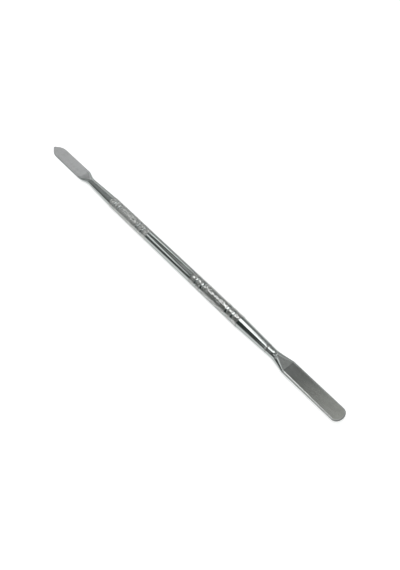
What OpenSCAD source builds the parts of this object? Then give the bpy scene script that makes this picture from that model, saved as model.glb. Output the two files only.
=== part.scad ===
// Double-ended cuticle pusher in stainless steel: a slender turned and knurled handle
// with a flat spatula forged on one working end and a pointed lancet on the other.
// Each working end has a round tang that is seated in a blind socket in the handle's
// tapered nose and brazed there.
// Origin at the middle of the tool, +X towards the spatula, +Z square to the blades' flats.

/* [Overall] */
// Length from the tip of the spatula to the tip of the lancet
tool_len = 175; // [170:1:190]

/* [Handle] */
// How far the handle's own middle lies from the tool's middle, towards the spatula
handle_offset = 1.7; // [0:0.1:2.5]
// Diameter of the polished middle of the handle
handle_d = 4.6; // [4.3:0.1:6]
// How far the knurled bands stand above the polished diameter, on the radius
knurl_rise = 0.07; // [0.02:0.01:0.15]
// Length of the polished middle
middle_len = 27.7; // [20:0.1:29]
// Width of each polished ring between the knurled bands
ring_w = 1; // [0.6:0.1:1.4]
// Knurled band between the polished middle and the first ring
inner_band_w = 2.65; // [2:0.05:3]
// Knurled band between the first and the second ring
second_band_w = 2.1; // [1.5:0.1:2.5]
// Long knurled band that the fingers hold
long_band_w = 12.6; // [10:0.1:13]
// Knurled band between the third and the fourth ring
fourth_band_w = 1.9; // [1.5:0.1:2.5]
// Knurled band outside the fourth ring, next to the tapered nose
outer_band_w = 2.5; // [2:0.1:3]

/* [Noses and sockets] */
// Length of the handle's tapered nose on the spatula side
spatula_nose_len = 13.9; // [12:0.1:15]
// Diameter at the mouth of the nose on the spatula side
spatula_nose_d = 3.5; // [3.4:0.05:3.9]
// Length of the handle's tapered nose on the lancet side
lancet_nose_len = 14.1; // [12:0.1:15]
// Diameter at the mouth of the nose on the lancet side
lancet_nose_d = 3.45; // [3.35:0.05:3.9]
// Diameter of each tang and of the socket it is seated in
tang_d = 2; // [1.6:0.1:2.2]
// Depth of each socket
socket_depth = 10; // [6:0.5:12]
// Room left behind each tang for the brazing alloy's gas to gather
socket_relief = 0.8; // [0.5:0.1:1.5]
// Thickness of the braze seam between a nose and its working end
braze_w = 0.3; // [0.2:0.05:0.5]

/* [Spatula] */
// Smallest diameter of the spatula's round shank
spatula_shank_d = 3.3; // [2.8:0.05:3.35]
// Length of the spatula's round shank from the braze seam to the start of the flare
spatula_shank_len = 2.4; // [1.5:0.1:3.5]
// Width of the spatula's blade at its shoulder
spatula_w = 5.6; // [5:0.1:6.5]
// Width of the spatula's blade where its end starts to round
spatula_end_w = 5.4; // [4.6:0.1:5.6]
// Thickness of the spatula's blade at its shoulder
spatula_root_t = 1.5; // [1.2:0.1:2]
// Thickness of the spatula's blade at its rounded end
spatula_tip_t = 0.9; // [0.5:0.1:1]
// Length of the spatula's blade from its shoulder to its tip
spatula_blade_len = 23.2; // [21:0.1:23.5]
// Length over which the spatula's end is rounded in plan
spatula_round = 2.2; // [1.5:0.1:2.6]

/* [Lancet] */
// Smallest diameter of the lancet's round shank
lancet_shank_d = 3.22; // [2.8:0.02:3.3]
// Length of the lancet's round shank from the braze seam to the start of the flare
lancet_shank_len = 2.6; // [1.5:0.1:3.5]
// Width of the lancet's blade
lancet_w = 5.6; // [4.6:0.1:6.5]
// Thickness of the lancet's blade where it leaves the shank
lancet_root_t = 1.1; // [0.8:0.1:1.6]
// Thickness of the lancet's blade at its point
lancet_tip_t = 0.6; // [0.4:0.1:0.8]
// Length of the lancet's blade from its shoulder to its point
lancet_blade_len = 26; // [24:0.1:26.5]
// Length of the curved point
lancet_point_len = 6.4; // [5:0.1:9]
// Radius of the blunted tip of the point
lancet_nose_r = 0.55; // [0.3:0.05:0.7]

/* [Hidden] */
$fn = 96;

steps = 10;                     // pieces that a curved stretch of an outline is drawn in
nose_root_d = 0.97 * handle_d;  // the noses start just under the polished diameter
chamfer = 0.08;                 // edge break at both ends of every knurled band
socket_lip = 0.15;              // countersink at each socket's mouth
seat_step = 0.04;               // how far a working end stands back from its nose, on the radius
overlap = 1;                    // how far a solid runs into its neighbour, or a cut past a face
slab_w = 2 * max(spatula_w, lancet_w);
slab_h = 2 * handle_d;
slice_w = 0.01;                 // thickness of the thin sections that a forged shoulder runs through
slice_fn = 32;                  // facets round such a section
flare_steps = 4;                // pieces that the spatula's shoulder is forged in
facet_from = 0.25;              // share of the flare before its top and bottom are forged flat
flare_power = 1.25;             // above 1, the spatula's flare starts gently and ends steeply
shoulder_steps = 6;             // sections that the lancet's rounded shoulder runs through
point_share = 0.93;             // share of the point's arc that is drawn before its blunted tip

ring_r = handle_d / 2;
band_r = ring_r + knurl_rise;
middle_half = middle_len / 2;

// Knurled bands on one side, as [start, end], counted outward from the handle's middle
band_widths = [inner_band_w, second_band_w, long_band_w, fourth_band_w, outer_band_w];
function band_start(i) = i == 0 ? middle_half : band_start(i - 1) + band_widths[i - 1] + ring_w;
bands = [for (i = [0 : len(band_widths) - 1]) [band_start(i), band_start(i) + band_widths[i]]];

grip_half = bands[len(bands) - 1][1];
spatula_mouth = grip_half + handle_offset + spatula_nose_len;
lancet_mouth = grip_half - handle_offset + lancet_nose_len;

half_len = tool_len / 2;
spatula_shoulder = half_len - spatula_blade_len;
lancet_shoulder = half_len - lancet_blade_len;
spatula_seat = spatula_mouth + braze_w;
lancet_seat = lancet_mouth + braze_w;

// Turns an outline of [radius, place along X] points into a solid about the X axis
module turned(outline) {
    rotate([0, 90, 0])
        rotate_extrude()
            polygon(outline);
}

// One straight round hole or pin along X, from x0 to x1
module along_x(x0, x1, d) {
    translate([x0, 0, 0])
        rotate([0, 90, 0])
            cylinder(h = x1 - x0, d = d);
}

// A blind socket that opens at x = mouth, and its countersunk lip
module socket(mouth) {
    along_x(mouth - socket_depth, mouth + overlap, tang_d);
    turned([
        [0, mouth - socket_lip],
        [tang_d / 2, mouth - socket_lip],
        [tang_d / 2 + socket_lip, mouth],
        [0, mouth]
    ]);
}

// Outline points of one knurled band between x0 and x1, with its edges broken
function band_outline(x0, x1) = [
    [ring_r, x0],
    [band_r, x0 + chamfer],
    [band_r, x1 - chamfer],
    [ring_r, x1]
];

// The grip bands on the spatula side and on the lancet side, each in order along X
spatula_grip = [
    for (band = bands)
        each band_outline(handle_offset + band[0], handle_offset + band[1])
];
lancet_grip = [
    for (i = [len(bands) - 1 : -1 : 0])
        each band_outline(handle_offset - bands[i][1], handle_offset - bands[i][0])
];

// The handle: noses, knurled grips, rings and the polished middle, in one turned bar
module handle() {
    color("silver")
        difference() {
            turned(concat(
                [[0, -lancet_mouth]],
                [[lancet_nose_d / 2, -lancet_mouth]],
                [[nose_root_d / 2, handle_offset - grip_half]],
                lancet_grip,
                spatula_grip,
                [[nose_root_d / 2, handle_offset + grip_half]],
                [[spatula_nose_d / 2, spatula_mouth]],
                [[0, spatula_mouth]]
            ));
            socket(spatula_mouth);
            mirror([1, 0, 0])
                socket(lancet_mouth);
        }
}

// Working ends are drawn pointing along +X; the lancet is mirrored into place.

// A thin slice of a forged shank at x: a round bar of diameter w with its top and bottom flattened
module slice(x, w, t) {
    translate([x, 0, 0])
        rotate([90, 0, 90])
            linear_extrude(height = slice_w)
                intersection() {
                    circle(d = w, $fn = slice_fn);
                    square([slab_w, t], center = true);
                }
}

// A forged shoulder through [place along X, width, thickness] sections, from first to last
module forged(sections, first, last) {
    hull()
        for (i = [first : last])
            slice(sections[i][0], sections[i][1], sections[i][2]);
}

// A flat blade: a plan outline of one side as [x, half width], and a taper in thickness
module blade(outline, root_x, root_t, tip_t) {
    intersection() {
        linear_extrude(height = slab_h, center = true)
            polygon(concat(
                outline,
                [for (i = [len(outline) - 1 : -1 : 0]) [outline[i][0], -outline[i][1]]]
            ));
        rotate([90, 0, 0])
            linear_extrude(height = slab_w, center = true)
                polygon([
                    [root_x, -root_t / 2],
                    [half_len, -tip_t / 2],
                    [half_len, tip_t / 2],
                    [root_x, root_t / 2]
                ]);
    }
}

// Round shank between its seat and its smallest section, with the tang behind it
module shank_and_tang(mouth, seat, shank_start, seat_d, shank_d) {
    turned([[0, seat], [seat_d / 2, seat], [shank_d / 2, shank_start], [0, shank_start]]);
    along_x(mouth - socket_depth + socket_relief, seat + overlap, tang_d);
}

// Spatula: round shank, flare to the shoulder, sides that close in very slightly, rounded end
module spatula_end() {
    shank_start = spatula_seat + spatula_shank_len;
    flare_len = spatula_shoulder - shank_start;
    sections = [
        for (i = [0 : flare_steps])
            let (f = i / flare_steps)
                [shank_start - slice_w + flare_len * f,
                 spatula_shank_d + (spatula_w - spatula_shank_d) * pow(f, flare_power),
                 spatula_shank_d
                     + (spatula_root_t - spatula_shank_d) * max(0, (f - facet_from) / (1 - facet_from))]
    ];
    outline = concat(
        [[spatula_shoulder, spatula_w / 2]],
        [for (i = [0 : steps])
            [half_len - spatula_round + spatula_round * sin(90 * i / steps),
             spatula_end_w / 2 * cos(90 * i / steps)]]
    );
    color("lightgray")
        union() {
            shank_and_tang(spatula_mouth, spatula_seat, shank_start,
                           spatula_nose_d - 2 * seat_step, spatula_shank_d);
            for (i = [1 : flare_steps])
                forged(sections, i - 1, i);
            blade(outline, spatula_shoulder, spatula_root_t, spatula_tip_t);
        }
}

// Lancet: round shank, rounded shoulder, parallel sides and a curved point
module lancet_end() {
    shank_start = lancet_seat + lancet_shank_len;
    flare_len = lancet_shoulder - shank_start;
    sections = [
        for (i = [0 : shoulder_steps])
            let (f = (1 - cos(180 * i / shoulder_steps)) / 2)
                [shank_start - slice_w + flare_len * i / shoulder_steps,
                 lancet_shank_d + (lancet_w - lancet_shank_d) * f,
                 lancet_shank_d + (lancet_root_t - lancet_shank_d) * f]
    ];
    point_start = half_len - lancet_point_len;
    // The point's sides are arcs, tangent to the parallel sides, that run into the blunted tip
    drop = lancet_w / 2 - lancet_nose_r;
    run = lancet_point_len - lancet_nose_r;
    point_r = (run * run + drop * drop) / (2 * drop);
    point_angle = asin(run / point_r) * point_share;
    tip_half = lancet_w / 2 - point_r * (1 - cos(point_angle));
    tip_x = point_start + point_r * sin(point_angle);
    outline = concat(
        [[lancet_shoulder, lancet_w / 2]],
        [for (i = [0 : steps])
            [point_start + point_r * sin(point_angle * i / steps),
             lancet_w / 2 - point_r * (1 - cos(point_angle * i / steps))]],
        [for (i = [1 : steps])
            [tip_x + (half_len - tip_x) * sin(90 * i / steps), tip_half * cos(90 * i / steps)]]
    );
    color("gainsboro")
        mirror([1, 0, 0])
            union() {
                shank_and_tang(lancet_mouth, lancet_seat, shank_start,
                               lancet_nose_d - 2 * seat_step, lancet_shank_d);
                for (i = [1 : shoulder_steps / 2])
                    forged(sections, i - 1, i);
                forged(sections, shoulder_steps / 2, shoulder_steps);
                blade(outline, lancet_shoulder, lancet_root_t, lancet_tip_t);
            }
}

// Ring of brazing alloy that fills the countersink and the seam at a socket's mouth
module braze_ring(mouth, nose_d) {
    turned([
        [tang_d / 2, mouth - socket_lip],
        [tang_d / 2 + socket_lip, mouth],
        [nose_d / 2 - seat_step / 2, mouth],
        [nose_d / 2 - seat_step, mouth + braze_w],
        [tang_d / 2, mouth + braze_w]
    ]);
}

module spatula_braze() {
    color("tan")
        braze_ring(spatula_mouth, spatula_nose_d);
}

module lancet_braze() {
    color("tan")
        mirror([1, 0, 0])
            braze_ring(lancet_mouth, lancet_nose_d);
}

handle();
spatula_end();
lancet_end();
spatula_braze();
lancet_braze();
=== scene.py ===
import math

import bmesh
import bpy
import numpy as np
from mathutils import Matrix, Vector


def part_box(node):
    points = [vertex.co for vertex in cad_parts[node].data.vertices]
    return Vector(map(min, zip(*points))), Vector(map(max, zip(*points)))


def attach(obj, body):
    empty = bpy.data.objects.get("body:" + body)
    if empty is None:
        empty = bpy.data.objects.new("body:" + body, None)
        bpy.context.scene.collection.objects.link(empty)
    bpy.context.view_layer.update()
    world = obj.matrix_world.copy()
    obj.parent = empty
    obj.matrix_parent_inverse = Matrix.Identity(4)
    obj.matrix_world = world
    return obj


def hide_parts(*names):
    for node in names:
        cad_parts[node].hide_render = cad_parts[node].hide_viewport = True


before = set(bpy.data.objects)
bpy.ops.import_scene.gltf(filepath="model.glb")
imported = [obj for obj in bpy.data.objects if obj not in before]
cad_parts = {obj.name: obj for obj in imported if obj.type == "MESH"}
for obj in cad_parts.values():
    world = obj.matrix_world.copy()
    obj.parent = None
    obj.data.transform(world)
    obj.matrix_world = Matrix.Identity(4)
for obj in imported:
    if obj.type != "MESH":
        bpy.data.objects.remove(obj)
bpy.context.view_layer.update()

MM = 0.001          # metres in a millimetre
MICRON = 0.000001   # metres in a micrometre

# ---------------------------------------------------------------- sizes shared by the pieces, in millimetres

handle_low, handle_high = (np.array(v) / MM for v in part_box("handle"))
spatula_low, spatula_high = (np.array(v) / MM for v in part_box("spatula_end"))
lancet_low, lancet_high = (np.array(v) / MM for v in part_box("lancet_end"))

HALF_LEN = spatula_high[0]      # half the tool's length
SPATULA_MOUTH = handle_high[0]  # distance from the middle to the end of each nose
LANCET_MOUTH = -handle_low[0]
BAND_R = handle_high[2]         # radius over the knurl's crests
KNURL_RISE = 0.07               # how far the crests stand above the polished steel
RING_R = BAND_R - KNURL_RISE    # radius of the rings and of the polished middle
HANDLE_OFFSET = 1.7             # the handle's own middle, from the tool's middle
MIDDLE_HALF = 13.85             # half the length of the polished middle
RING_W = 1.0                    # width of a polished ring
BAND_WIDTHS = (2.65, 2.1, 12.6, 1.9, 2.5)   # knurled bands on one side, counted outward
NOSE_ROOT_R = 0.97 * RING_R     # a nose where it leaves the grip
SPATULA_NOSE_R = 1.75           # each nose at its mouth
LANCET_NOSE_R = 1.725
NOSE_RIM = 0.06                 # broken edge at a nose's mouth
TANG_R = 1.0
BRAZE_W = 0.3                   # width of the seam between a nose and its working end
SEAT_STEP = 0.04                # how far the shank's start lies inside the nose's mouth, on the radius


# ---------------------------------------------------------------- mesh helpers

class Skin:
    """Collects rows of points and the faces between them, in millimetres."""

    def __init__(self):
        self.vertices = []
        self.faces = []
        self.material = []
        self.depth = []
        self.flat = []

    def add(self, points, depth=0.0):
        """Adds a row of points and returns their indices."""
        start = len(self.vertices)
        self.vertices.extend(points)
        self.depth.extend([depth] * len(points) if np.isscalar(depth) else depth)
        return list(range(start, start + len(points)))

    def face(self, corners, material=0, flat=False):
        self.faces.append(tuple(corners))
        self.material.append(material)
        self.flat.append(flat)

    def stitch(self, a, b, flat=False):
        """Quads between two closed rows that have the same number of points."""
        count = len(a)
        for i in range(count):
            j = (i + 1) % count
            self.face((a[i], a[j], b[j], b[i]), flat=flat)


def make_object(name, skin, materials):
    """A mesh object from a skin, with one material slot per entry of materials."""
    mesh = bpy.data.meshes.new(name)
    mesh.from_pydata([tuple(c * MM for c in v) for v in skin.vertices], [], skin.faces)
    obj = bpy.data.objects.new(name, mesh)
    bpy.context.scene.collection.objects.link(obj)
    for material in materials:
        mesh.materials.append(material)
    mesh.polygons.foreach_set("material_index", skin.material)
    mesh.polygons.foreach_set("use_smooth", [not flat for flat in skin.flat])
    mesh.update()
    return obj


def weld(obj):
    """Joins points that lie together, drops faces that closed up, and turns normals outward.
    An edge beside a flat face is sharp, so smooth shading stops there."""
    mesh = bmesh.new()
    mesh.from_mesh(obj.data)
    bmesh.ops.remove_doubles(mesh, verts=mesh.verts, dist=4 * MICRON)
    bmesh.ops.dissolve_degenerate(mesh, edges=mesh.edges, dist=MICRON)
    bmesh.ops.recalc_face_normals(mesh, faces=mesh.faces)
    for edge in mesh.edges:
        edge.smooth = all(face.smooth for face in edge.link_faces)
    mesh.to_mesh(obj.data)
    mesh.free()


def circle_row(x, r, count):
    """Points of a circle about the X axis."""
    turns = [2 * math.pi * i / count for i in range(count)]
    return [(x, r * math.sin(t), r * math.cos(t)) for t in turns]


def stand_in_for(obj, cad_node):
    """Shows a piece in place of its CAD node, riding on the only body."""
    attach(obj, "root")
    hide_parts(cad_node)


# ---------------------------------------------------------------- material helpers

def new_material(name):
    """A node material, its tree and its Principled shader."""
    material = bpy.data.materials.new(name)
    material.use_nodes = True
    tree = material.node_tree
    return material, tree, tree.nodes["Principled BSDF"]


def noise(tree, cells, detail):
    """Noise with the given number of cells per metre along X, Y and Z."""
    coordinates = tree.nodes.new("ShaderNodeTexCoord")
    mapping = tree.nodes.new("ShaderNodeMapping")
    mapping.inputs["Scale"].default_value = cells
    tree.links.new(coordinates.outputs["Object"], mapping.inputs["Vector"])
    made = tree.nodes.new("ShaderNodeTexNoise")
    made.inputs["Scale"].default_value = 1.0
    made.inputs["Detail"].default_value = detail
    made.inputs["Roughness"].default_value = 0.55
    tree.links.new(mapping.outputs["Vector"], made.inputs["Vector"])
    return made.outputs["Fac"]


def ramp(tree, source, stops):
    """A colour ramp on source; stops are (position, grey or colour)."""
    made = tree.nodes.new("ShaderNodeValToRGB")
    elements = made.color_ramp.elements
    while len(elements) > 1:
        elements.remove(elements[-1])
    for i, (position, value) in enumerate(stops):
        element = elements[0] if i == 0 else elements.new(position)
        element.position = position
        colour = (value, value, value) if np.isscalar(value) else value
        element.color = (*colour, 1)
    tree.links.new(source, made.inputs["Fac"])
    return made.outputs["Color"]


def mix_colour(tree, factor, a, b):
    """Mixes two colours, each a socket or a colour, by a factor socket."""
    made = tree.nodes.new("ShaderNodeMix")
    made.data_type = "RGBA"
    tree.links.new(factor, made.inputs[0])
    for value, socket in ((a, made.inputs[6]), (b, made.inputs[7])):
        if isinstance(value, bpy.types.NodeSocket):
            tree.links.new(value, socket)
        else:
            socket.default_value = (*value, 1)
    return made.outputs[2]


def times(tree, source, factor):
    """The source multiplied by a number."""
    made = tree.nodes.new("ShaderNodeMath")
    made.operation = "MULTIPLY"
    tree.links.new(source, made.inputs[0])
    made.inputs[1].default_value = factor
    return made.outputs["Value"]


def bump(tree, height, distance, normal=None):
    """A bump of the given height in metres, on top of another bump if there is one."""
    made = tree.nodes.new("ShaderNodeBump")
    made.inputs["Strength"].default_value = 1.0
    made.inputs["Distance"].default_value = distance
    tree.links.new(height, made.inputs["Height"])
    if normal is not None:
        tree.links.new(normal, made.inputs["Normal"])
    return made.outputs["Normal"]


# ---------------------------------------------------------------- materials

GRAZING_TINT = (0.60, 0.61, 0.60, 1)   # what bare steel mirrors at a glancing angle


def polished_steel():
    """Lathe-polished stainless steel: mirror bright, with faint rings and hairline scratches."""
    material, tree, shader = new_material("polished_steel")
    rings = noise(tree, cells=(9000, 300, 300), detail=3.0)
    hairlines = noise(tree, cells=(260, 4200, 4200), detail=2.0)
    handling = noise(tree, cells=(160, 160, 160), detail=5.0)
    tone = mix_colour(tree, handling, (0.385, 0.41, 0.402), (0.465, 0.485, 0.478))
    tree.links.new(tone, shader.inputs["Base Color"])
    shader.inputs["Metallic"].default_value = 1.0
    shader.inputs["Specular Tint"].default_value = GRAZING_TINT
    tree.links.new(ramp(tree, handling, [(0.3, 0.07), (0.75, 0.15)]), shader.inputs["Roughness"])
    fine = bump(tree, rings, 1.2 * MICRON)
    tree.links.new(bump(tree, hairlines, 0.8 * MICRON, normal=fine), shader.inputs["Normal"])
    return material


def knurled_steel():
    """The knurled bands: bright crests worn smooth by fingers, roots darkened by painted shade and grime."""
    material, tree, shader = new_material("knurled_steel")
    attribute = tree.nodes.new("ShaderNodeAttribute")
    attribute.attribute_name = "depth"
    depth = attribute.outputs["Fac"]
    grain = noise(tree, cells=(2600, 2600, 2600), detail=4.0)
    worn = noise(tree, cells=(120, 120, 120), detail=3.0)
    # colour by depth: the roots are painted dark, painted shade in the grooves together with grime; the
    # crests are light where fingers wore them
    root, flank, crest = (0.10, 0.10, 0.095), (0.42, 0.42, 0.41), (0.84, 0.85, 0.84)
    height = ramp(tree, depth, [(0.0, root), (0.45, flank), (1.0, crest)])
    tone = mix_colour(tree, times(tree, worn, 0.35), height, (0.46, 0.46, 0.44))
    tree.links.new(tone, shader.inputs["Base Color"])
    shader.inputs["Metallic"].default_value = 1.0
    shader.inputs["Specular Tint"].default_value = GRAZING_TINT
    tree.links.new(ramp(tree, depth, [(0.0, 0.42), (0.6, 0.24), (1.0, 0.14)]), shader.inputs["Roughness"])
    tree.links.new(bump(tree, grain, 4 * MICRON), shader.inputs["Normal"])
    return material


def satin_steel(name, tones, span, roughness):
    """Belt-ground satin steel: fine lines across the blade over a soft mottle. The tone drifts
    along the blade, from tones[0] at span[0] to tones[1] at span[1] (millimetres along X); on the
    spatula's face this drift is a painted reflection, dark at the shoulder and light at the tip."""
    material, tree, shader = new_material(name)
    belt_lines = noise(tree, cells=(9000, 500, 500), detail=3.0)
    mottle = noise(tree, cells=(500, 700, 700), detail=6.0)
    wear = noise(tree, cells=(90, 160, 160), detail=3.0)
    apart = tree.nodes.new("ShaderNodeSeparateXYZ")
    tree.links.new(tree.nodes.new("ShaderNodeTexCoord").outputs["Object"], apart.inputs["Vector"])
    # the drift along X is painted colour: on the spatula's face it is a painted reflection, dark at the
    # shoulder and light at the tip
    drift = tree.nodes.new("ShaderNodeMapRange")
    tree.links.new(apart.outputs["X"], drift.inputs["Value"])
    drift.inputs["From Min"].default_value = span[0] * MM
    drift.inputs["From Max"].default_value = span[1] * MM
    tone = mix_colour(tree, drift.outputs["Result"], tones[0], tones[1])
    tone = mix_colour(tree, ramp(tree, mottle, [(0.3, 0.88), (0.75, 1.12)]), (0, 0, 0), tone)
    tree.links.new(tone, shader.inputs["Base Color"])
    shader.inputs["Metallic"].default_value = 1.0
    shader.inputs["Specular Tint"].default_value = GRAZING_TINT
    rough_low, rough_high = roughness
    tree.links.new(ramp(tree, wear, [(0.3, rough_low), (0.7, rough_high)]), shader.inputs["Roughness"])
    fine = bump(tree, belt_lines, 3.5 * MICRON)
    tree.links.new(bump(tree, mottle, 2 * MICRON, normal=fine), shader.inputs["Normal"])
    return material


def braze_alloy():
    """Silver brazing alloy: slightly yellow, dull, with a grainy set surface."""
    material, tree, shader = new_material("braze_alloy")
    grain = noise(tree, cells=(3000, 3000, 3000), detail=5.0)
    tone = mix_colour(tree, grain, (0.17, 0.17, 0.16), (0.32, 0.31, 0.29))
    tree.links.new(tone, shader.inputs["Base Color"])
    shader.inputs["Metallic"].default_value = 1.0
    tree.links.new(ramp(tree, grain, [(0.3, 0.30), (0.7, 0.45)]), shader.inputs["Roughness"])
    tree.links.new(bump(tree, grain, 8 * MICRON), shader.inputs["Normal"])
    return material


POLISHED = polished_steel()
KNURLED = knurled_steel()
# the spatula's face is painted dark at the shoulder and light at the tip: a painted reflection, not the
# steel's own tone
SATIN_FACE_PAINTED_REFLECTION = satin_steel("satin_steel", tones=((0.14, 0.147, 0.143), (0.375, 0.38, 0.355)),
                         span=(64, 87), roughness=(0.17, 0.21))
# a lighter copy of the face's satin steel for the facet: its tone is painted light
SATIN_FACET_PAINTED_LIGHT = satin_steel("facet_steel_painted_light", tones=((0.28, 0.29, 0.283), (0.26, 0.27, 0.262)),
                          span=(57, 64), roughness=(0.24, 0.30))
# a lighter copy again for the round edge: its lower roughness is the edge's finish, its light tone a painted
# highlight
SATIN_EDGE_PAINTED_HIGHLIGHT = satin_steel("edge_steel_painted_highlight", tones=((0.54, 0.555, 0.545), (0.50, 0.51, 0.50)),
                         span=(64, 87), roughness=(0.14, 0.22))
SATIN_PALE = satin_steel("satin_steel_pale", tones=((0.53, 0.53, 0.535), (0.50, 0.505, 0.51)),
                         span=(-87, -62), roughness=(0.36, 0.44))
BRAZE = braze_alloy()


# ---------------------------------------------------------------- handle

KNURL_STARTS = 22       # diamonds round the handle
KNURL_PITCH = 0.66      # length of one diamond along the handle
KNURL_DEPTH = 0.12      # crest to root
KNURL_CUTS = 6          # mesh steps across one diamond, one of them taken by each side of a groove
KNURL_WEAR = 0.055      # how far the worn crests tilt this way and that, on the radius
EDGE_BREAK = 0.10       # chamfer at both ends of a band
END_SINK = 0.03         # how far the foot of that chamfer lies below the rings
BAND_INSET = 0.001      # a band's first and last rows lie this far inside it
ROW_CLEAR = 0.03        # and no other row comes this near to its ends
RING_HOLLOW = 0.02      # how far a ring's middle is worn below its sides
HANDLE_AROUND = KNURL_STARTS * KNURL_CUTS   # points round the handle
POLISHED_SLOT, KNURLED_SLOT = 0, 1


def band_limits():
    """(start, end) of the knurled bands on one side, counted outward."""
    limits, x = [], MIDDLE_HALF
    for width in BAND_WIDTHS:
        limits.append((x, x + width))
        x += width + RING_W
    return limits


def knurl_height(i, j):
    """Height of the knurl at step i round and step j along: 0 in a groove, 1 on a crest."""
    in_groove = (i + j) % KNURL_CUTS == 0 or (i - j) % KNURL_CUTS == 0
    return 0.0 if in_groove else 1.0


def crest_radius(i, j, tilt):
    """Radius of the worn crest that step i round and step j along lies on."""
    (a, u), (b, v) = divmod(i + j, KNURL_CUTS), divmod(i - j, KNURL_CUTS)
    lean_a, lean_b = tilt[a % KNURL_STARTS, b % KNURL_STARTS]
    uneven = 1 + lean_a * (u / KNURL_CUTS - 0.5) + lean_b * (v / KNURL_CUTS - 0.5)
    return BAND_R - KNURL_WEAR * uneven / 2


def knurl_row(skin, x, j, tilt, fade):
    """One row round a band; fade is 1 on the knurl and falls to 0 down the end chamfers."""
    points, depths = [], []
    for i in range(HANDLE_AROUND):
        height = knurl_height(i, j)
        r = (crest_radius(i, j, tilt) - KNURL_DEPTH * (1 - height)) * fade
        r += (RING_R - END_SINK) * (1 - fade)
        turn = 2 * math.pi * i / HANDLE_AROUND
        points.append((x, r * math.sin(turn), r * math.cos(turn)))
        depths.append(height * fade)
    return skin.add(points, depths)


def knurled_band(skin, x0, x1):
    """A band of raised diamonds between x0 and x1; returns its first and last rows."""
    step = KNURL_PITCH / KNURL_CUTS
    first = math.ceil(round(x0 / step, 6))
    last = math.floor(round(x1 / step, 6))
    inner = [k * step for k in range(first, last + 1) if x0 + ROW_CLEAR < k * step < x1 - ROW_CLEAR]
    tilt = np.random.default_rng(first % 1000).uniform(-1, 1, (KNURL_STARTS, KNURL_STARTS, 2))
    rows = []
    for x in [x0 + BAND_INSET] + inner + [x1 - BAND_INSET]:
        j = round(x / step)
        fade = min(1.0, (x - x0) / EDGE_BREAK, (x1 - x) / EDGE_BREAK)
        rows.append((knurl_row(skin, x, j, tilt, fade), j))
    for (a, ja), (b, _) in zip(rows, rows[1:]):
        for i in range(HANDLE_AROUND):
            k = (i + 1) % HANDLE_AROUND
            if (i + ja + 1) % KNURL_CUTS == 0:
                halves = (a[i], a[k], b[i]), (a[k], b[k], b[i])
            else:
                halves = (a[i], a[k], b[k]), (a[i], b[k], b[i])
            for half in halves:
                skin.face(half, KNURLED_SLOT, flat=True)
    return rows[0][0], rows[-1][0]


def polished_zone(skin, stations):
    """A turned polished stretch through (x, radius) stations; returns its end rows."""
    rows = [skin.add(circle_row(x, r, HANDLE_AROUND), 1.0) for x, r in stations]
    for a, b in zip(rows, rows[1:]):
        skin.stitch(a, b)
    return rows[0], rows[-1]


def ring_stations(x0, x1):
    """A narrow polished ring, very slightly hollow between the bands."""
    return [(x0 + (x1 - x0) * f, RING_R - RING_HOLLOW * (1 - abs(2 * f - 1) ** 4))
            for f in np.linspace(0, 1, 9)]


def nose_stations(x0, r0, x1, r1):
    """A tapered nose with a broken edge at its mouth."""
    inner = [(x0 + (x1 - x0) * f, r0 + (r1 - r0) * f) for f in np.linspace(0, 1, 20)]
    inner[-1] = (x1 - NOSE_RIM, r1 + NOSE_RIM * (r0 - r1) / (x1 - x0))
    return inner + [(x1 - 0.25 * NOSE_RIM, r1 - 0.1 * NOSE_RIM), (x1, r1 - 0.6 * NOSE_RIM)]


def build_handle():
    """Noses, knurled bands, rings and polished middle as one closed turned skin."""
    skin = Skin()
    bands = band_limits()
    grip = bands[-1][1]
    rings = [(inner[1], outer[0]) for inner, outer in zip(bands, bands[1:])]

    lancet_nose = nose_stations(grip - HANDLE_OFFSET, NOSE_ROOT_R, LANCET_MOUTH, LANCET_NOSE_R)
    spatula_nose = nose_stations(grip + HANDLE_OFFSET, NOSE_ROOT_R, SPATULA_MOUTH, SPATULA_NOSE_R)
    middle = [(HANDLE_OFFSET + x, RING_R) for x in np.linspace(-MIDDLE_HALF, MIDDLE_HALF, 15)]
    zones = [(-LANCET_MOUTH, polished_zone, ([(-x, r) for x, r in reversed(lancet_nose)],)),
             (HANDLE_OFFSET - MIDDLE_HALF, polished_zone, (middle,)),
             (HANDLE_OFFSET + grip, polished_zone, (spatula_nose,))]
    for side in (-1, 1):
        for span in bands:
            x0, x1 = sorted(HANDLE_OFFSET + side * x for x in span)
            zones.append((x0, knurled_band, (x0, x1)))
        for span in rings:
            x0, x1 = sorted(HANDLE_OFFSET + side * x for x in span)
            zones.append((x0, polished_zone, (ring_stations(x0, x1),)))
    ends = [build(skin, *shape) for _, build, shape in sorted(zones, key=lambda zone: zone[0])]

    for (_, a), (b, _) in zip(ends, ends[1:]):
        skin.stitch(a, b, flat=True)
    skin.face(reversed(ends[0][0]), flat=True)
    skin.face(ends[-1][1], flat=True)
    handle = make_object("knurled_handle", skin, [POLISHED, KNURLED])
    # the knurl's depth, which its material turns into painted shade in the roots
    attribute = handle.data.attributes.new("depth", "FLOAT", "POINT")
    attribute.data.foreach_set("value", np.array(skin.depth, np.float32))
    weld(handle)
    return handle


# ---------------------------------------------------------------- working ends

SPATULA_W = spatula_high[1] * 2     # width at the shoulder
SPATULA_END_W = 5.4                 # width where the end starts to round
SPATULA_SHOULDER = HALF_LEN - 23.2  # where the flare ends and the blade starts
SPATULA_SHANK_R = 1.65
SPATULA_SHANK_LEN = 2.4
SPATULA_FACET_FROM = 0.25           # share of the flare before its top and bottom are forged flat
SPATULA_FLARE_POWER = 1.25          # above 1 the flare starts gently
SPATULA_ROOT_H = 0.75               # half thickness at the shoulder
SPATULA_TIP_H = 0.45                # half thickness at the tip
SPATULA_ROUND = 2.2                 # length over which the end is rounded

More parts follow.
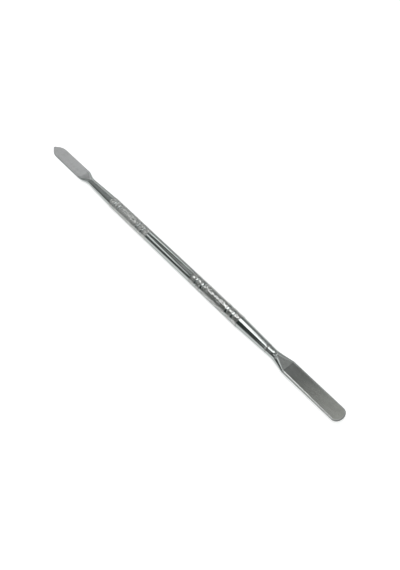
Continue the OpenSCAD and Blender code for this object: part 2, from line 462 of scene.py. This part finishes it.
LANCET_W = lancet_high[1] * 2
LANCET_SHOULDER = HALF_LEN - 26
LANCET_SHANK_R = 1.61
LANCET_SHANK_LEN = 2.6
LANCET_FORGED_FROM = 2.3            # distance from the seam at which the thinning starts
LANCET_ROOT_H = 0.55
LANCET_TIP_H = 0.31
LANCET_POINT = 6.4                  # length of the point
LANCET_TIP_R = 0.55
LANCET_ARC_SHARE = 0.93             # share of the point's side arc before the tip's own round

SHANK_STEPS = 8                     # mesh steps along the stretches of a working end
SPATULA_FLARE_STEPS, SPATULA_BLADE_STEPS, SPATULA_END_STEPS = 24, 50, 28
LANCET_FLARE_STEPS, LANCET_BLADE_STEPS, LANCET_POINT_STEPS, LANCET_TIP_STEPS = 28, 44, 26, 14
RIM_STEPS = 8                       # mesh steps from a blade's face to its edge's middle
FACE_STEPS = 14                     # mesh steps across a blade's face
TIP_ZONE = 3.0                      # length at the tip where the edge keeps its full thickness
FACE_SLOT, EDGE_SLOT, FLANK_SLOT, FACET_SLOT = 0, 1, 2, 3


def shares(steps, whole=False):
    """Even shares from 0 towards 1; the 1 itself is given only if whole."""
    return np.linspace(0, 1, steps, endpoint=whole)


def shank_outline(seat, start, nose_r, shank_r):
    """Plan outline of a round shank as (x, half width), from its seat in the seam to its flare."""
    return [(seat + (start - seat) * f, nose_r - SEAT_STEP + (shank_r - nose_r + SEAT_STEP) * f)
            for f in shares(SHANK_STEPS)]


def spatula_outline():
    """Plan outline of one side as (x, half width), shank to tip."""
    seat = SPATULA_MOUTH + BRAZE_W
    start = seat + SPATULA_SHANK_LEN
    points = shank_outline(seat, start, SPATULA_NOSE_R, SPATULA_SHANK_R)
    for f in shares(SPATULA_FLARE_STEPS):
        points.append((start + (SPATULA_SHOULDER - start) * f,
                       SPATULA_SHANK_R + (SPATULA_W / 2 - SPATULA_SHANK_R) * f ** SPATULA_FLARE_POWER))
    end = HALF_LEN - SPATULA_ROUND
    for f in shares(SPATULA_BLADE_STEPS):
        points.append((SPATULA_SHOULDER + (end - SPATULA_SHOULDER) * f,
                       SPATULA_W / 2 + (SPATULA_END_W - SPATULA_W) / 2 * f))
    for f in shares(SPATULA_END_STEPS, whole=True):
        turn = math.pi / 2 * f
        points.append((end + SPATULA_ROUND * math.sin(turn), SPATULA_END_W / 2 * math.cos(turn)))
    return points


def spatula_thickness(x):
    """Half thickness of the spatula: None on the round part, then the facet, then a long taper."""
    flare = SPATULA_MOUTH + BRAZE_W + SPATULA_SHANK_LEN
    start = flare + SPATULA_FACET_FROM * (SPATULA_SHOULDER - flare)
    if x <= start:
        return None
    if x <= SPATULA_SHOULDER:
        f = (x - start) / (SPATULA_SHOULDER - start)
        return SPATULA_SHANK_R + (SPATULA_ROOT_H - SPATULA_SHANK_R) * f
    f = (x - SPATULA_SHOULDER) / (HALF_LEN - SPATULA_SHOULDER)
    return SPATULA_ROOT_H + (SPATULA_TIP_H - SPATULA_ROOT_H) * f


def lancet_outline():
    """Plan outline of one side as (distance from the middle, half width), shank to point."""
    seat = LANCET_MOUTH + BRAZE_W
    start = seat + LANCET_SHANK_LEN
    half = LANCET_W / 2
    points = shank_outline(seat, start, LANCET_NOSE_R, LANCET_SHANK_R)
    for f in shares(LANCET_FLARE_STEPS):
        points.append((start + (LANCET_SHOULDER - start) * f,
                       LANCET_SHANK_R + (half - LANCET_SHANK_R) / 2 * (1 - math.cos(math.pi * f))))
    point_start = HALF_LEN - LANCET_POINT
    for f in shares(LANCET_BLADE_STEPS):
        points.append((LANCET_SHOULDER + (point_start - LANCET_SHOULDER) * f, half))
    drop, run = half - LANCET_TIP_R, LANCET_POINT - LANCET_TIP_R
    arc_r = (run * run + drop * drop) / (2 * drop)
    arc = math.asin(run / arc_r) * LANCET_ARC_SHARE
    for f in shares(LANCET_POINT_STEPS):
        points.append((point_start + arc_r * math.sin(arc * f), half - arc_r * (1 - math.cos(arc * f))))
    tip_half = half - arc_r * (1 - math.cos(arc))
    tip_x = point_start + arc_r * math.sin(arc)
    for f in shares(LANCET_TIP_STEPS, whole=True):
        turn = math.pi / 2 * f
        points.append((tip_x + (HALF_LEN - tip_x) * math.sin(turn), tip_half * math.cos(turn)))
    return points


def lancet_thickness(x):
    """Half thickness of the lancet: None on the round shank, then smooth thinning, then a taper."""
    start = LANCET_MOUTH + BRAZE_W + LANCET_FORGED_FROM
    if x <= start:
        return None
    if x <= LANCET_SHOULDER:
        f = (x - start) / (LANCET_SHOULDER - start)
        return LANCET_ROOT_H + (LANCET_SHANK_R - LANCET_ROOT_H) / 2 * (1 + math.cos(math.pi * f))
    f = (x - LANCET_SHOULDER) / (HALF_LEN - LANCET_SHOULDER)
    return LANCET_ROOT_H + (LANCET_TIP_H - LANCET_ROOT_H) * f


def edge_directions(place, half_width):
    """Unit vectors in plan, square to the outline; the last one points straight ahead."""
    outward = np.stack([-np.gradient(half_width), np.gradient(place)], 1)
    outward[-1] = (1, 0)
    return outward / np.linalg.norm(outward, axis=1)[:, None]


def edge_arc(x, w, h, direction, forged, facet_w):
    """The round edge at one station, as its centre, radius, half angle and direction in plan.
    On shank and flare it runs from the facet's edge to the widest point, where it is upright."""
    if forged < 1:
        flat = forged * facet_w
        centre = (flat * flat + h * h - w * w) / (2 * (flat - w))
        return (x, centre), w - centre, math.atan2(h, flat - centre), (0.0, 1.0)
    ahead, aside = direction
    return (x - ahead * h, max(w - aside * h, 0.0)), h, math.pi / 2, direction


def edge_rows(skin, outline, thickness, shoulder, side):
    """The rows of the round edge along one side, from top face to bottom face."""
    place = np.array([x for x, _ in outline])
    half_width = np.array([w for _, w in outline])
    shank_end = max(x for x in place if thickness(x) is None)
    facet_w = max(half_width) - thickness(shoulder)
    rows = []
    for x, w, direction in zip(place, half_width, edge_directions(place, half_width)):
        h = w if thickness(x) is None else min(thickness(x), w)
        if x > place[-1] - TIP_ZONE:
            h = thickness(x)
        forged = min(max((x - shank_end) / (shoulder - shank_end), 0.0), 1.0)
        (cx, cy), r, reach, (ahead, aside) = edge_arc(x, w, h, direction, forged, facet_w)
        rows.append(skin.add([
            (cx + ahead * r * math.cos(a), side * (cy + aside * r * math.cos(a)), r * math.sin(a))
            for a in np.linspace(reach, -reach, 2 * RIM_STEPS + 1)]))
    return rows


def edge_faces(skin, rows, outline, shoulder, side):
    """Quads of the round edge along one side."""
    for a, b, (x, _) in zip(rows, rows[1:], outline):
        for k in range(2 * RIM_STEPS):
            quad = (a[k], b[k], b[k + 1], a[k + 1])
            skin.face(quad if side > 0 else quad[::-1], FLANK_SLOT if x < shoulder else EDGE_SLOT)


def broad_face(skin, left, right, shoulder, upward):
    """The flat top or bottom, in rows from one edge's points (left) to the other's (right)."""
    rows = []
    for first, last in zip(left, right):
        a, b = np.array(skin.vertices[first]), np.array(skin.vertices[last])
        inner = [tuple(a + (b - a) * k / FACE_STEPS) for k in range(1, FACE_STEPS)]
        rows.append([first, *skin.add(inner), last])
    for a, b in zip(rows, rows[1:]):
        slot = FACET_SLOT if skin.vertices[a[0]][0] < shoulder else FACE_SLOT
        for k in range(FACE_STEPS):
            quad = (a[k], a[k + 1], b[k + 1], b[k])
            skin.face(quad if upward else quad[::-1], slot)


def working_end(name, outline, thickness, shoulder, materials, flip):
    """A forged working end. Its section is a circle on the shank, gains a facet above and below
    in the flare, and becomes a flat bar with round edges; the same edge runs on round the tip.
    It is built along +X, and flip turns it to -X. The materials go on face, edge, flank, facet."""
    skin = Skin()
    sides = {}
    for side in (1, -1):
        sides[side] = edge_rows(skin, outline, thickness, shoulder, side)
        edge_faces(skin, sides[side], outline, shoulder, side)
    for level, upward in ((0, True), (2 * RIM_STEPS, False)):
        broad_face(skin, [row[level] for row in sides[1]], [row[level] for row in sides[-1]],
                   shoulder, upward)
    seat_against_seam = sides[1][0] + list(reversed(sides[-1][0]))
    skin.face(seat_against_seam, EDGE_SLOT, flat=True)
    if flip:
        skin.vertices = [(-x, -y, z) for x, y, z in skin.vertices]
    obj = make_object(name, skin, materials)
    weld(obj)
    return obj


# ---------------------------------------------------------------- braze seams

SEAM_SINK = 0.045       # how far the alloy lies below the nose's mouth, on the radius
SEAM_HOLLOW = 0.015     # and how much further in the middle of the seam
SEAM_AROUND = 120       # points round a seam


def braze_ring(name, mouth, nose_r, side):
    """The ring of alloy that shows as a fine sunken line between nose and working end."""
    skin = Skin()
    top = nose_r - SEAM_SINK
    stations = [(mouth, TANG_R), (mouth, top)]
    for f in (0.2, 0.5, 0.8):
        stations.append((mouth + BRAZE_W * f, top - SEAM_HOLLOW * math.sin(math.pi * f)))
    stations += [(mouth + BRAZE_W, top - 0.005), (mouth + BRAZE_W, TANG_R)]
    rows = [skin.add(circle_row(side * x, r, SEAM_AROUND)) for x, r in stations]
    for a, b in zip(rows, rows[1:] + rows[:1]):
        skin.stitch(a, b)
    ring = make_object(name, skin, [BRAZE])
    weld(ring)
    return ring


# ---------------------------------------------------------------- the pieces

handle = build_handle()
stand_in_for(handle, "handle")

spatula = working_end("spatula_blade", spatula_outline(), spatula_thickness, SPATULA_SHOULDER,
                      [SATIN_FACE_PAINTED_REFLECTION, SATIN_EDGE_PAINTED_HIGHLIGHT, POLISHED, SATIN_FACET_PAINTED_LIGHT], flip=False)
stand_in_for(spatula, "spatula_end")

lancet = working_end("lancet_blade", lancet_outline(), lancet_thickness, LANCET_SHOULDER,
                     [SATIN_PALE, SATIN_PALE, POLISHED, SATIN_PALE], flip=True)
stand_in_for(lancet, "lancet_end")

spatula_seam = braze_ring("spatula_seam", SPATULA_MOUTH, SPATULA_NOSE_R, side=1)
stand_in_for(spatula_seam, "spatula_braze")

lancet_seam = braze_ring("lancet_seam", LANCET_MOUTH, LANCET_NOSE_R, side=-1)
stand_in_for(lancet_seam, "lancet_braze")


# ---------------------------------------------------------------- studio

TABLE_HALF = 3.0        # half the table's side, in metres
TABLE_TONE = 0.85
TABLE_GLOW = 0.70       # keeps the table as white as a cut-out background
LAMP_DISTANCE = 0.9     # metres

# name, degrees along, degrees around, radiance: the windows of the sky that the steel mirrors
LAMPS = (
    ("key_softbox", (-32, -19), (-37, 11), 2.6),
    ("key_neck", (-18.8, -15.5), (-15, 11), 2.6),
    ("key_wing", (-15.2, -4), (1, 16), 2.2),
    ("key_flank", (-17.2, -13), (12, 21), 2.0),
    ("ceiling_fill", (-40, -34), (-30, 25), 0.15),
    ("left_fill", (-48, -42.8), (-60, 40), 2.0),
    ("left_low_fill", (-48, -42), (42, 80), 0.60),
    ("far_left_fill", (-75, -48.5), (-80, -20), 0.46),
    ("far_left_ceiling", (-75, -48.5), (-18, 62), 0.32),
    ("line_strip", (-40, -33), (40, 47), 0.7),
    ("thin_strip", (-37.5, -34), (-13, -9.5), 0.7),
    ("horizon_fill", (-42, -18), (77, 90), 0.35),
    ("back_panel", (-68, -31), (-75, -44), 0.52),
    ("back_fill", (-30, 2), (-90, -42), 0.28),
    ("tip_fill", (-13.5, 2), (-45, -1), 0.66),
    ("top_key", (3, 20), (-60, 60), 0.75),
    ("rim_fill", (-17, 3), (28, 76), 0.6),
    ("tip_side_fill", (25, 70), (-80, 80), 0.25),
)
SURROUNDINGS = (0.062, 0.072, 0.069)
BACKDROP = (0.92, 0.92, 0.92)

CAMERA_PLACE = (133.78, -57.77, 168.74)     # millimetres
CAMERA_FORWARD = (-0.5395, 0.2719, -0.7969)
CAMERA_ROLL = -14.33                        # degrees
CAMERA_LENS = 37.89                         # millimetres, on a 36 mm sensor


def floor():
    """A plain white table, just under the knurled bands that the tool lies on."""
    z = -BAND_R * MM
    corners = [(-TABLE_HALF, -TABLE_HALF), (TABLE_HALF, -TABLE_HALF),
               (TABLE_HALF, TABLE_HALF), (-TABLE_HALF, TABLE_HALF)]
    mesh = bpy.data.meshes.new("floor")
    mesh.from_pydata([(x, y, z) for x, y in corners], [], [(0, 1, 2, 3)])
    table = bpy.data.objects.new("floor", mesh)
    bpy.context.scene.collection.objects.link(table)
    material, _, shader = new_material("table_white")
    shader.inputs["Base Color"].default_value = (TABLE_TONE, TABLE_TONE, TABLE_TONE, 1)
    shader.inputs["Roughness"].default_value = 1.0
    shader.inputs["Specular IOR Level"].default_value = 0.0
    shader.inputs["Emission Color"].default_value = (1, 1, 1, 1)
    shader.inputs["Emission Strength"].default_value = TABLE_GLOW
    mesh.materials.append(material)


def panel(name, along, around, radiance):
    """A flat lamp that fills a window of the sky seen from the tool, in degrees: along is the tilt
    from square across the tool towards +X, around is the turn about the tool from +Z towards -Y."""
    tilt, turn = (math.radians(sum(span) / 2) for span in (along, around))
    outward = Vector((math.sin(tilt), -math.cos(tilt) * math.sin(turn), math.cos(tilt) * math.cos(turn)))
    wide = Vector((math.cos(tilt), math.sin(tilt) * math.sin(turn), -math.sin(tilt) * math.cos(turn)))
    high = outward.cross(wide)
    wide_half, high_half = (math.radians(span[1] - span[0]) / 2 for span in (along, around))
    data = bpy.data.lights.new(name, "AREA")
    data.shape = "RECTANGLE"
    data.size = 2 * LAMP_DISTANCE * math.tan(wide_half)
    data.size_y = 2 * LAMP_DISTANCE * math.tan(high_half) * math.cos(tilt)
    data.energy = radiance * math.pi * data.size * data.size_y
    lamp = bpy.data.objects.new(name, data)
    facing = Matrix((wide, high, outward)).transposed().to_4x4()
    lamp.matrix_world = Matrix.Translation(outward * LAMP_DISTANCE) @ facing
    bpy.context.scene.collection.objects.link(lamp)


def world_light():
    """Dim surroundings for the steel to mirror, behind a pale backdrop that only the camera sees."""
    world = bpy.data.worlds.new("studio")
    world.use_nodes = True
    tree = world.node_tree
    seen = tree.nodes.new("ShaderNodeLightPath").outputs["Is Camera Ray"]
    colour = mix_colour(tree, seen, SURROUNDINGS, BACKDROP)
    tree.links.new(colour, tree.nodes["Background"].inputs["Color"])
    bpy.context.scene.world = world


def camera():
    """The camera where the photograph was taken from, worked out from the tool's perspective."""
    data = bpy.data.cameras.new("camera")
    data.lens = CAMERA_LENS
    data.sensor_width = 36
    data.clip_start = 0.01
    made = bpy.data.objects.new("camera", data)
    turn = Vector(CAMERA_FORWARD).to_track_quat("-Z", "Y").to_matrix().to_4x4()
    made.matrix_world = (Matrix.Translation(Vector(CAMERA_PLACE) * MM) @ turn
                         @ Matrix.Rotation(math.radians(CAMERA_ROLL), 4, "Z"))
    bpy.context.scene.collection.objects.link(made)
    bpy.context.scene.camera = made


floor()
for lamp in LAMPS:
    panel(*lamp)
world_light()
camera()
bpy.context.scene.view_settings.view_transform = "Standard"
